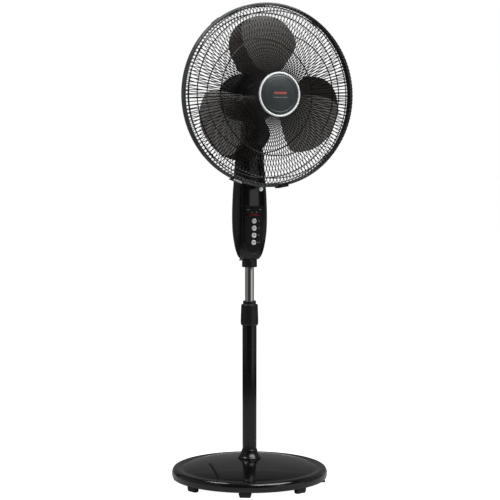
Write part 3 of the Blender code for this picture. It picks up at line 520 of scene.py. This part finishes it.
def make_blades():
    bm = bmesh.new()
    hub = [(0.0043, 0.098), (0.026, 0.098), (0.0275, 0.102), (0.0275, 0.131), (0.0245, 0.138),
           (0.018, 0.140), (0.0043, 0.140)]
    spin_into(bm, rounded(hub, 0.0015, closed=True), 64, ON_HEAD)
    for index in range(3):
        blade_into(bm, index)
    blades = add_piece("fan_blades", bm, "smoke_blade", "rotor", ("fan_blade",))
    blades.data.materials.append(MATS["smoke_blade_shade"])
    nut = [(0, 0.1565), (0.0100, 0.1560), (0.0140, 0.1520), (0.0150, 0.1405), (0, 0.1405)]
    turned("blade_nut_cap", nut, "satin_black", "rotor", ("blade_nut",), ON_HEAD, 48, 0.0012)


# ---------------------------------------------------------------- motor
def make_motor_cover():
    """Barrel and squarish dome with a vent grille in the back and a bead round the barrel."""
    straight_end, depth, radius, wall = -0.020, 0.075, 0.060, 0.0025
    dome = []
    for i in range(19):
        angle = math.radians(90 * i / 18)
        dome.append((radius * math.sqrt(math.cos(angle)), straight_end - depth * math.sqrt(math.sin(angle))))
    dome[-1] = (0.0, straight_end - depth)
    inner = [(max(r - wall, 0.0), h + wall) for r, h in dome]
    outline = list(reversed(dome)) + [(radius, 0.0150), (radius + 0.0008, 0.0160),
                                      (radius + 0.0008, 0.0200), (radius, 0.0210), (radius, 0.0450),
                                      (radius - wall, 0.0450)] + inner
    bm = bmesh.new()
    spin_into(bm, outline, 96, ON_HEAD)
    cover = add_piece("motor_cover_shell", bm, "satin_black", "head", ("motor_cover",))
    holes = bmesh.new()
    spin_into(holes, [(0, -0.1), (0.022, -0.1), (0.022, -0.035), (0, -0.035)], 48, Matrix.Translation(HEAD))
    for row in range(-3, 4):
        y = row * 0.0095
        half = math.sqrt(0.038 ** 2 - y ** 2)
        slot = rounded_box(half, 0.0021, 0.0019)
        prism_into(holes, slot, 0.030, ON_HEAD @ Matrix.Translation((0, y, -0.110)))
    boolean_cut(cover, cutter(holes))
    front = [(0.006, 0.0455), (0.0598, 0.0455), (0.0598, 0.0470), (0.058, 0.0485), (0.0352, 0.0485),
             (0.0244, 0.0485), (0.0240, 0.0680), (0.006, 0.0680)]
    turned("motor_front_plate", front, "satin_black", "head", ("motor_front_cover",),
           ON_HEAD, 96, 0.0008)
    nut = [(0.0249, 0.0540), (0.0350, 0.0540), (0.0350, 0.0575), (0.0325, 0.0615), (0.0249, 0.0615)]
    bm = bmesh.new()
    spin_into(bm, rounded(nut, 0.0008, closed=True), 64, ON_HEAD)
    ribs = 20
    for i in range(ribs):
        turn = Matrix.Rotation(math.tau * i / ribs, 4, "Z")
        place = ON_HEAD @ turn @ Matrix.Translation((0.0350, 0, 0.0542))
        prism_into(bm, rounded_box(0.0010, 0.0012, 0.0006), 0.0032, place)
    add_piece("guard_nut_ribbed", bm, "satin_black", "head", ("guard_nut",))


# ---------------------------------------------------------------- column
COLUMN_OUTLINE = ((0.564, 0.0210), (0.568, 0.0251), (0.576, 0.0299), (0.592, 0.0348), (0.6145, 0.0389),
                  (0.640, 0.0415), (0.678, 0.0423), (0.727, 0.0407), (0.767, 0.0379), (0.806, 0.0353),
                  (0.834, 0.0330), (0.852, 0.0303))
DEPTH_RATIO = 0.706
SQUARENESS = 3.6
COLUMN_ROWS = [(p.x, p.y) for p in smooth_path(COLUMN_OUTLINE, 5)]


def column_half_width(z):
    for (z0, w0), (z1, w1) in zip(COLUMN_ROWS, COLUMN_ROWS[1:]):
        if z0 <= z <= z1:
            return w0 + (w1 - w0) * (z - z0) / (z1 - z0)
    return COLUMN_ROWS[-1][1]


def column_face(x, z):
    """Forward distance of the column's skin at a point seen from the front."""
    half_w = column_half_width(z)
    share = min(abs(x) / half_w, 1.0)
    return half_w * DEPTH_RATIO * (1 - share ** SQUARENESS) ** (1 / SQUARENESS)


def column_section(half_w, z, count):
    points = []
    power = 2 / SQUARENESS
    for i in range(count):
        angle = math.tau * i / count
        c, s = math.cos(angle), math.sin(angle)
        x = math.copysign(abs(c) ** power, c) * half_w
        y = math.copysign(abs(s) ** power, s) * half_w * DEPTH_RATIO
        points.append(Vector((x, y, z)))
    return points


def make_housing():
    bm = bmesh.new()
    count = 96
    low_z, low_half = COLUMN_ROWS[0]
    rows = [(low_z + 0.0002, low_half - 0.0012)] + COLUMN_ROWS[1:-1] + [(0.8508, 0.0304), (0.8520, 0.0288)]
    rings = [[bm.verts.new(p) for p in column_section(w, z, count)] for z, w in rows]
    for a, b in zip(rings, rings[1:]):
        for i in range(count):
            j = (i + 1) % count
            bm.faces.new((a[i], a[j], b[j], b[i]))
    bm.faces.new(rings[0])
    top = [bm.verts.new(v.co + Vector((-v.co.x * 0.22, -v.co.y * 0.22, 0))) for v in rings[-1]]
    low = [bm.verts.new(v.co + Vector((0, 0, -0.006))) for v in top]
    for a, b in ((rings[-1], top), (top, low)):
        for i in range(count):
            j = (i + 1) % count
            bm.faces.new((a[i], a[j], b[j], b[i]))
    bm.faces.new(low)
    housing = add_piece("column_housing", bm, "housing_black", "column", ("housing_rear",))
    boolean_cut(housing, panel_cutter())


COVER_HALF_W = 0.0306
COVER_FOOT_Z = 0.637                            # below this the front cover's foot is round
COVER_FOOT_TALL = 0.058
COVER_SHOULDER_Z = 0.765                        # above this it may narrow with the column
COVER_MARGIN = 0.0085                           # up there, its least distance from the column's edge


def fascia_half_width(z):
    """Half width of the front cover at a height: a round foot, straight sides and a narrowing shoulder."""
    if z < COVER_FOOT_Z:
        return COVER_HALF_W * math.sqrt(max(0.0, 1 - ((COVER_FOOT_Z - z) / COVER_FOOT_TALL) ** 2))
    if z > COVER_SHOULDER_Z:
        return min(COVER_HALF_W, column_half_width(z) - COVER_MARGIN)
    return COVER_HALF_W


def fascia_grid(low_z, high_z, rows, inset, proud, edge_drop, thickness, columns=28):
    """A closed, curved cover lying on the column's front, its rim rolled down by edge_drop."""
    bm = bmesh.new()
    heights = []
    for i in range(rows + 1):
        t = 0.5 - 0.5 * math.cos(math.pi * i / rows)
        heights.append(low_z + (high_z - low_z) * t)
    front, back = [], []
    for i, z in enumerate(heights):
        half_w = max(fascia_half_width(z) - inset, 0.0008)
        row_front, row_back = [], []
        for j in range(columns + 1):
            u = math.sin(math.pi * (j / columns - 0.5))
            x = u * half_w
            rim = min(half_w * (1 - abs(u)), z - low_z, high_z - z)
            roll = edge_drop * (1 - min(rim / 0.0012, 1.0)) ** 2
            face = column_face(x, z) + proud - roll
            row_front.append(bm.verts.new((x, -face, z)))
            row_back.append(bm.verts.new((x, -(face + roll - proud - thickness), z)))
        front.append(row_front)
        back.append(row_back)
    for grid in (front, back):
        for i in range(rows):
            for j in range(columns):
                bm.faces.new((grid[i][j], grid[i][j + 1], grid[i + 1][j + 1], grid[i + 1][j]))
    for i in range(rows):
        for j in (0, columns):
            bm.faces.new((front[i][j], front[i + 1][j], back[i + 1][j], back[i][j]))
    for i in (0, rows):
        for j in range(columns):
            bm.faces.new((front[i][j], front[i][j + 1], back[i][j + 1], back[i][j]))
    return bm


BUTTON_ZS = [0.662 - 0.0179 * i for i in range(4)]
BUTTON_R = 0.0066
BUTTON_GAP = 0.0004
WINDOW_Z = 0.677


def panel_cutter():
    """Button holes and the window's slot."""
    bm = bmesh.new()
    for z in BUTTON_ZS:
        place = Matrix.Translation((0, 0, z)) @ FORWARD
        hole_r = BUTTON_R + BUTTON_GAP
        spin_into(bm, [(0, 0.010), (hole_r, 0.010), (hole_r, 0.045), (0, 0.045)], 40, place)
    place = Matrix.Translation((0, 0, WINDOW_Z)) @ FORWARD @ Matrix.Translation((0, 0, 0.010))
    prism_into(bm, rounded_box(0.0228, 0.0026, 0.0012), 0.035, place)
    return cutter(bm)


def make_fascia():
    shell = fascia_grid(0.5792, 0.8490, 80, 0.0, 0.0009, 0.0011, 0.0005)
    cover = add_piece("column_fascia", shell, "gloss_black", "column", ("housing_front",))
    boolean_cut(cover, panel_cutter())
    sheet = fascia_grid(0.5830, 0.7000, 60, 0.0040, 0.0012, 0.0002, 0.0004)
    overlay = add_piece("control_overlay", sheet, "overlay_black", "column")
    boolean_cut(overlay, panel_cutter())
    window = fascia_grid(0.6746, 0.6794, 6, 0.0080, 0.0008, 0.0001, 0.0012, columns=20)
    add_piece("indicator_window_red", window, "smoke_window", "column", ("indicator_window",))
    # a thin lighter bead along the cover's seam: painted highlight of the rolled edge catching light
    bead = bmesh.new()
    tube_into(bead, seam_path(), 0.00045, Vector((0, -1, 0)), 6)
    add_piece("fascia_seam_highlight", bead, "seam_highlight_grey", "column")
    make_marks()


def seam_path():
    """Runs round the front cover's edge, from its left shoulder under its foot to its right shoulder."""
    heights = [0.8440 - 0.0040 * i for i in range(52)]
    side = [(fascia_half_width(z), z) for z in heights]
    foot = []
    for i in range(49):
        angle = math.radians(180 + 180 * i / 48)
        foot.append((COVER_HALF_W * math.cos(angle), COVER_FOOT_Z + COVER_FOOT_TALL * math.sin(angle)))
    outline = [(-x, z) for x, z in side] + foot[1:-1] + list(reversed(side))
    return [Vector((x, -column_face(x, z) - 0.0003, z)) for x, z in outline]


def make_marks():
    """Plain pale dashes beside the buttons and above the window."""
    marks = [(-0.0160, 0.6905, 0.0040, 0.0007), (0.0165, 0.6905, 0.0018, 0.0010),
             (-0.0058, 0.6840, 0.0022, 0.0009), (0.0056, 0.6840, 0.0018, 0.0011)]
    marks += [(0.0128, z, 0.0022, 0.0009) for z in BUTTON_ZS[:3]] + [(0.0128, BUTTON_ZS[3], 0.0036, 0.0005)]
    bm = bmesh.new()
    for x, z, half_x, half_z in marks:
        face = column_face(x, z) + 0.0011
        slope = math.atan2(column_face(x + 0.001, z) - column_face(x - 0.001, z), 0.002)
        place = Matrix.Translation((x, -face, z)) @ Matrix.Rotation(-slope, 4, "Z") @ FORWARD
        prism_into(bm, rounded_box(half_x, half_z, half_z * 0.7), 0.0003, place)
    add_piece("control_marks", bm, "panel_mark", "column")


def make_buttons():
    for i, z in enumerate(BUTTON_ZS):
        body = f"button_{i + 1}"
        face = column_face(0, z) + 0.0017
        outline = [(0, 0.0235), (0.0028, 0.0235), (0.0028, face - 0.0040), (BUTTON_R, face - 0.0040),
                   (BUTTON_R, face - 0.0006), (0.0056, face + 0.0006), (0.0040, face + 0.0006),
                   (0.0034, face), (0, face)]
        place = Matrix.Translation((0, 0, z)) @ FORWARD
        turned(f"{body}_cap", outline, "button_silver", body, (body,), place, 48, 0.0005)
        icon = bmesh.new()
        ring_into(icon, 0.0019, face + 0.0001, 0.0005, place, 24, 6)
        if i == 2:
            leaning = Matrix.Rotation(0.35, 4, "Z")
            slash = place @ Matrix.Translation((0.0008, 0.0009, face - 0.0001)) @ leaning
            prism_into(icon, rounded_box(0.0026, 0.0006, 0.0003), 0.0005, slash)
        add_piece(f"{body}_icon", icon, "button_icon", body)


TUBE_R = 0.01150
POLE_R = 0.01815
NUT_RIBS = 24
GLAND_AT = (-0.0130, 0.0190, 0)


def make_tube_and_nut():
    tube = [(0.00995, 0.2350), (TUBE_R, 0.2350), (TUBE_R, 0.6400), (0.00995, 0.6400)]
    turned("inner_tube_bright", tube, "chrome", "column", ("inner_tube",), segments=128,
           fillet=0.0004)
    collar = [(0.01180, 0.5449), (0.0190, 0.5449), (0.0190, 0.5637), (0.01180, 0.5637)]
    turned("tube_collar_smooth", collar, "satin_black", "column", ("tube_collar",),
           fillet=0.0012)
    # a pale ring at the cord gland: painted highlight of the gland's edge
    grommet = bmesh.new()
    ring_into(grommet, 0.0064, 0.5618, 0.0013, Matrix.Translation(GLAND_AT), 40, 8)
    add_piece("gland_highlight_ring", grommet, "gland_highlight_pale", "column")
    nut = [(0.01865, 0.3974), (0.0202, 0.3974), (0.0223, 0.4010), (0.0224, 0.4060), (0.0210, 0.4496),
           (0.0201, 0.4506), (0.0170, 0.4510), (0.0165, 0.4518), (0.0165, 0.4585), (0.0157, 0.4595),
           (0.01190, 0.4595), (0.01190, 0.4440), (0.01865, 0.4440)]
    bm = bmesh.new()
    spin_into(bm, rounded(nut, 0.0006, closed=True, steps=3), 96, IDENTITY)
    for i in range(NUT_RIBS):
        turn = Matrix.Rotation(math.tau * i / NUT_RIBS, 4, "Z")
        lean = Matrix.Rotation(math.atan2(0.0014, 0.0436), 4, "Y").inverted()
        place = turn @ Matrix.Translation((0.02195, 0, 0.4070)) @ lean
        prism_into(bm, rounded_box(0.0007, 0.0011, 0.0006), 0.0400, place)
    add_piece("height_nut_ribbed", bm, "satin_black", "height_nut", ("height_nut",))
    pole = [(0.0165, 0.0253), (POLE_R, 0.0253), (POLE_R, 0.4380), (0.0165, 0.4380)]
    turned("outer_pole_gloss", pole, "pole_black", "base", ("outer_pole",), segments=128,
           fillet=0.0004)


# ---------------------------------------------------------------- base
CREASE_START = Vector((-0.106, 0.0085))
CREASE_END = Vector((-0.127, -0.106))
CREASE_DEPTH = 0.0017
CREASE_SPREAD = 0.0042
CREASE_HALF_W = 0.0027                          # half width of the darker, duller strip of painted shade along the crease
CREASE_LOWEST_Z = 0.03                          # the painted-shade strip takes only faces above this height
FOOT_COUNT = 8
FOOT_CLOCKING = -26
FOOT_INNER_R = 0.1800
FOOT_DEPTH = 0.012
FOOT_TOP_Z = 0.0122


def dent_depth(x, y):
    """Depth of the shallow crease in the left of the dish; it fades in over its first quarter."""
    away, share = from_crease(x, y)
    fade = min(max(share / 0.25, 0.0), 1.0)
    return CREASE_DEPTH * fade * math.exp(-(away / CREASE_SPREAD) ** 2)


def from_crease(x, y):
    """Distance from the crease's line, and how far along it the nearest point is."""
    along = CREASE_END - CREASE_START
    share = (Vector((x, y)) - CREASE_START).dot(along) / along.length_squared
    away = (Vector((x, y)) - (CREASE_START + along * min(max(share, 0.0), 1.0))).length
    return away, share


def make_base():
    outside = [(0.0215, 0.0590), (0.0300, 0.0587), (0.0500, 0.0573), (0.0900, 0.0533), (0.1200, 0.0489),
               (0.1450, 0.0437), (0.1600, 0.0395), (0.1685, 0.0363), (0.1722, 0.0354), (0.1770, 0.0364),
               (0.1865, 0.0370), (0.1923, 0.0350), (0.1955, 0.0310), (0.1970, 0.0260), (0.1970, 0.0190),
               (0.1956, 0.0130)]
    inside = [(0.1931, 0.0130), (0.1945, 0.0190), (0.1945, 0.0255), (0.1905, 0.0315), (0.1850, 0.0343),
              (0.1720, 0.0329), (0.1590, 0.0370), (0.1440, 0.0412), (0.0890, 0.0508), (0.0215, 0.0565)]
    curve = [tuple(p) for p in smooth_path(outside, 8)]
    bm = bmesh.new()
    spin_into(bm, curve + inside, 300, IDENTITY)
    for vert in bm.verts:
        vert.co.z -= dent_depth(vert.co.x, vert.co.y)
    # faces along the crease take a darker, duller material: painted shade in the crease, on top of the real
    # shallow dent
    for face in bm.faces:
        centre = face.calc_center_median()
        away, share = from_crease(centre.x, centre.y)
        if away < CREASE_HALF_W and share > 0 and centre.z > CREASE_LOWEST_Z:
            face.material_index = 1
    dish = add_piece("base_dish", bm, "base_black", "base", ("base_shell",), sharp=50)
    dish.data.materials.append(MATS["crease_shade_black"])
    flare = [(0.0298, 0.0598), (0.0292, 0.0620), (0.0262, 0.0655), (0.0227, 0.0710), (0.0206, 0.0765),
             (0.0197, 0.0806)]
    collar = [(0.01845, 0.0594), (0.0290, 0.0594)] + [tuple(p) for p in smooth_path(flare, 5)]
    collar += [(0.0190, 0.0815), (0.01845, 0.0815)]
    turned("pole_collar_smooth", collar, "housing_black", "base", ("pole_collar",),
           segments=128)
    top = FOOT_TOP_Z
    outline = [(-0.0130, 0), (0.0130, 0), (0.0153, top * 0.6), (0.0155, top), (-0.0155, top),
               (-0.0153, top * 0.6)]
    for i in range(FOOT_COUNT):
        turn = Matrix.Rotation(math.radians(FOOT_CLOCKING + 360 / FOOT_COUNT * i), 4, "Z")
        place = turn @ Matrix.Translation((0, -FOOT_INNER_R, 0)) @ FORWARD
        prism(f"foot_pad_{i + 1}", outline, FOOT_DEPTH, "rubber", "base", (f"foot_{i + 1}",),
              place, 0.0010)


# ---------------------------------------------------------------- CAD nodes that stay as they are
def finish_cad_nodes():
    """Gives each CAD node that still shows its material and rounded edges."""
    kept = {
        "satin_black": ("base_plate", "column_spine", "neck"),
        "rubber": ("cord_gland",),
        "cast_iron": ("base_weight",),
        "steel": ("pole_socket", "pole_bolt", "housing_screw_lower", "housing_screw_upper", "tilt_bolt",
                  "tilt_nut", "swivel_bracket", "pivot_post", "motor_shaft", "rotor_core", "swing_link"),
        "aluminium": ("motor_front_bell", "motor_rear_bell", "swing_motor"),
        "copper": ("stator",),
        "bronze": ("front_bearing", "rear_bearing"),
        "white_nylon": ("pole_bush", "tube_plug", "swing_crank"),
        "board_green": ("control_board",),
    }
    for mat, nodes in kept.items():
        for node in nodes:
            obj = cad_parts[node]
            obj.data.materials.clear()
            obj.data.materials.append(MATS[mat])
            bevel = obj.modifiers.new("Edges", "BEVEL")
            bevel.width = 0.0004
            bevel.segments = 2
            bevel.limit_method = "ANGLE"
            bevel.angle_limit = math.radians(40)


# ---------------------------------------------------------------- studio
CAMERA_AZIMUTH = -22.8
CAMERA_DISTANCE = 3.688
CAMERA_HEIGHT = 0.8345
CAMERA_PITCH = 3.83
CAMERA_OFFSET = 0.00126
CAMERA_LENS_MM = 105.7
FLOOR_Z = -0.0002
FLOOR_R = 1.2


def make_camera():
    data = bpy.data.cameras.new("camera")
    data.lens = CAMERA_LENS_MM
    data.sensor_width = 36.0
    camera = bpy.data.objects.new("camera", data)
    bpy.context.scene.collection.objects.link(camera)
    turn = math.radians(CAMERA_AZIMUTH)
    back = Vector((math.sin(turn), -math.cos(turn), 0))
    right = Vector((math.cos(turn), math.sin(turn), 0))
    camera.location = back * CAMERA_DISTANCE + right * CAMERA_OFFSET + Vector((0, 0, CAMERA_HEIGHT))
    camera.rotation_euler = (math.radians(90 - CAMERA_PITCH), 0, turn)
    bpy.context.scene.camera = camera


def area_light(name, azimuth, distance, height, width, tall, luminance, aim_height):
    """A soft panel round the fan; luminance is how bright the panel looks, with white paper at one."""
    data = bpy.data.lights.new(name, "AREA")
    data.shape = "RECTANGLE"
    data.size = width
    data.size_y = tall
    data.energy = luminance * math.pi * width * tall
    obj = bpy.data.objects.new(name, data)
    bpy.context.scene.collection.objects.link(obj)
    turn = math.radians(azimuth)
    obj.location = (math.sin(turn) * distance, -math.cos(turn) * distance, height)
    to = Vector((0, 0, aim_height)) - Vector(obj.location)
    obj.rotation_euler = to.to_track_quat("-Z", "Y").to_euler()
    obj.visible_camera = False


def stage_disc(name, inner, outer, z, mat):
    bm = bmesh.new()
    spin_into(bm, [(inner, z), (outer, z), (outer, z - 0.02), (inner, z - 0.02)] if inner else
              [(0, z), (outer, z), (outer, z - 0.02), (0, z - 0.02)], 96, IDENTITY)
    bmesh.ops.recalc_face_normals(bm, faces=bm.faces)
    mesh = bpy.data.meshes.new(name)
    bm.to_mesh(mesh)
    bm.free()
    mesh.materials.append(mat)
    obj = bpy.data.objects.new(name, mesh)
    bpy.context.scene.collection.objects.link(obj)
    return obj


def seen_directly(tree, seen, otherwise):
    """A colour that differs between what the camera sees and what lights the scene."""
    light_path = tree.nodes.new("ShaderNodeLightPath")
    return mix_colours(tree, light_path.outputs["Is Camera Ray"], otherwise, seen)


def floor_material():
    mat, tree, shader = new_material("floor_white")
    shader.inputs["Base Color"].default_value = (0.5, 0.5, 0.5, 1)
    shader.inputs["Roughness"].default_value = 0.9
    shader.inputs["Specular IOR Level"].default_value = 0.0
    colour = seen_directly(tree, (1.0, 1.0, 1.0), (0.03, 0.03, 0.03))
    tree.links.new(colour, shader.inputs["Emission Color"])
    shader.inputs["Emission Strength"].default_value = 1.0
    return mat


def make_world():
    world = bpy.data.worlds.new("studio")
    bpy.context.scene.world = world
    world.use_nodes = True
    tree = world.node_tree
    background = tree.nodes["Background"]
    tree.links.new(seen_directly(tree, (1.0, 1.0, 1.0), (0.045, 0.046, 0.048)), background.inputs["Color"])
    background.inputs["Strength"].default_value = 1.0


def make_stage():
    white = floor_material()
    stage_disc("floor", 0.0, FLOOR_R, FLOOR_Z, white)
    far = stage_disc("floor_far", FLOOR_R, 40.0, FLOOR_Z, white)
    far.visible_glossy = False
    make_world()
    # name, azimuth, distance, height, width, tall, luminance, aim height
    area_light("key", CAMERA_AZIMUTH - 90, 1.45, 3.0, 1.1, 1.0, 9.0, 0.0)
    area_light("overhead", 0, 0.05, 3.3, 2.4, 2.4, 0.35, 0.0)
    area_light("front_high", 20, 2.2, 3.1, 3.2, 1.6, 5.8, 0.97)
    area_light("fascia_strip", 22.8, 2.6, 1.15, 0.36, 1.1, 0.75, 0.9)
    area_light("badge_high", 24, 2.5, 2.3, 1.3, 0.9, 3.2, 0.9)
    area_light("tube_panel", 36, 2.4, 0.22, 2.24, 0.56, 0.57, 0.22)
    area_light("left_panel", -104, 2.6, 1.1, 4.6, 2.2, 0.17, 1.1)
    area_light("right_panel", 92, 2.6, 1.1, 3.2, 2.2, 0.14, 1.1)
    area_light("back_panel", 157, 2.6, 0.8, 5.0, 1.6, 0.11, 0.8)
    area_light("back_high", 157, 2.6, 2.4, 5.0, 1.6, 0.1, 0.0)
    scene = bpy.context.scene
    scene.view_settings.view_transform = "Standard"
    scene.view_settings.look = "None"


make_camera()
make_guards()
make_badge()
make_blades()
make_motor_cover()
make_housing()
make_fascia()
make_buttons()
make_tube_and_nut()
make_base()
finish_cad_nodes()
make_stage()
